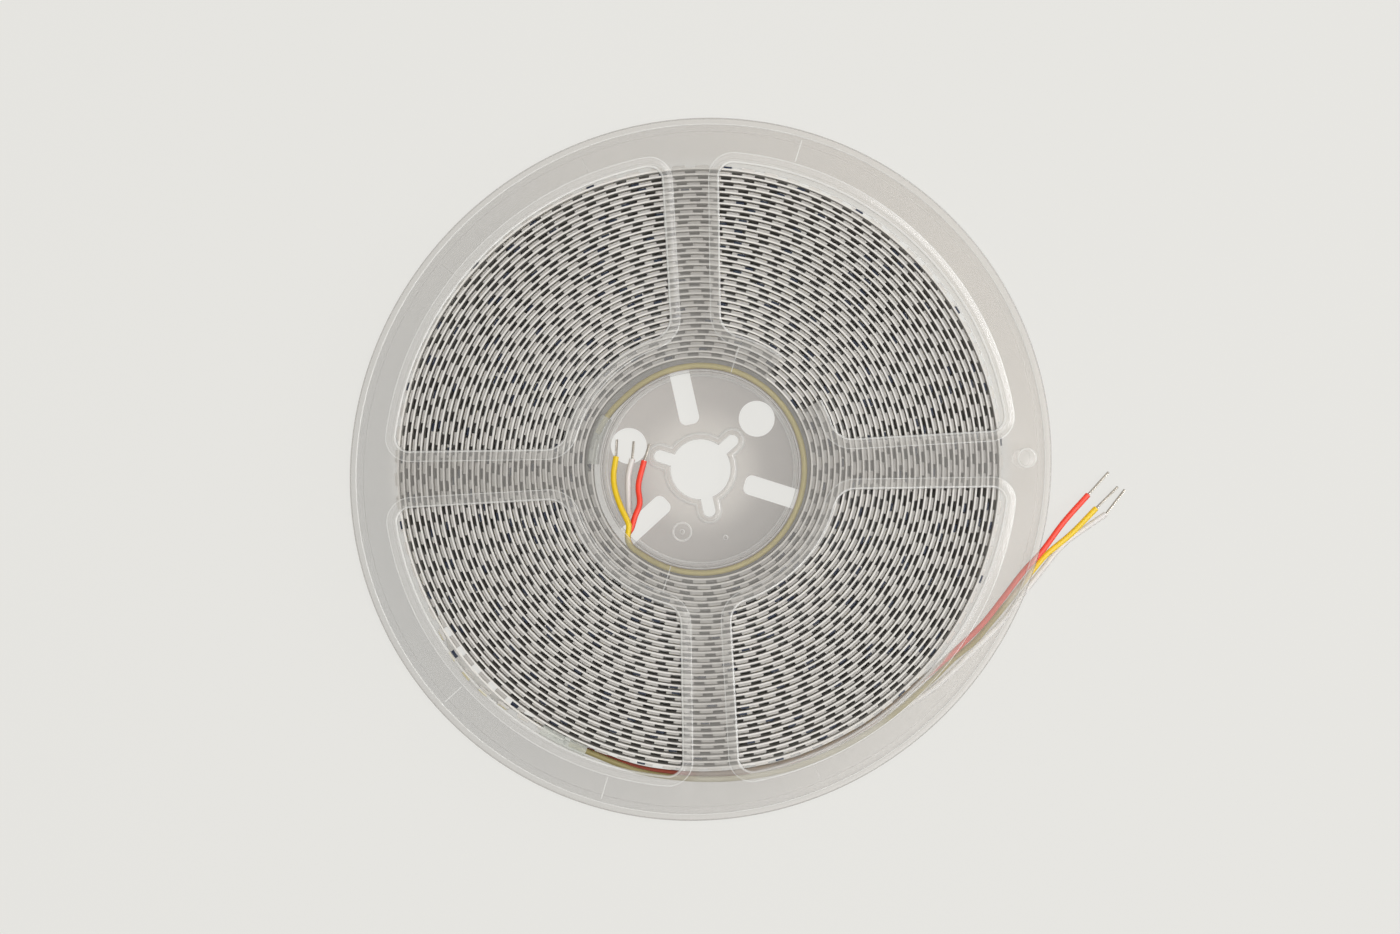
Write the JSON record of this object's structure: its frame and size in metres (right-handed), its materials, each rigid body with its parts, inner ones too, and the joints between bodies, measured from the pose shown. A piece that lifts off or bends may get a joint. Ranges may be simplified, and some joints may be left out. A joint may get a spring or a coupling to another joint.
{
  "type": "led strip light reel",
  "caption": "Flat reel of flexible LED strip: two clear frosted flanges with four windows on a slotted hub, a close spiral of strip between them, and a three-wire lead at each end",
  "frame": {"origin": "on the hub's axis, at the underside of the rear flange's rim, which is the plane that the reel lies on", "axes": "+Z runs along the hub's axis from the rear flange to the front one, +X points to the side where the outer lead leaves and +Y is a quarter turn counter-clockwise from it"},
  "size_m": [0.2012, 0.1802, 0.0155],
  "materials": {
    "frosted_plastic": "clear, lightly frosted",
    "hub_plastic": "clear, lightly frosted",
    "strip": "matte white",
    "clear_film": "clear heat-shrink film",
    "red_insulation": "smooth",
    "yellow_insulation": "smooth",
    "white_insulation": "smooth",
    "tinned_copper": "twisted and tinned",
    "solder": "bright"
  },
  "bodies": {
    "root": {"front_flange": "frosted_plastic", "rear_flange": "frosted_plastic", "hub": "hub_plastic", "led_strip": "strip", "inner_sleeve": "clear_film", "outer_sleeve": "clear_film", "inner_wire_red": "red_insulation", "inner_core_red": "tinned_copper", "inner_solder_red": "solder", "inner_wire_yellow": "yellow_insulation", "inner_core_yellow": "tinned_copper", "inner_solder_yellow": "solder", "inner_wire_white": "white_insulation", "inner_core_white": "tinned_copper", "inner_solder_white": "solder", "outer_wire_red": "red_insulation", "outer_core_red": "tinned_copper", "outer_solder_red": "solder", "outer_wire_yellow": "yellow_insulation", "outer_core_yellow": "tinned_copper", "outer_solder_yellow": "solder", "outer_wire_white": "white_insulation", "outer_core_white": "tinned_copper", "outer_solder_white": "solder"}
  },
  "joints": []
}
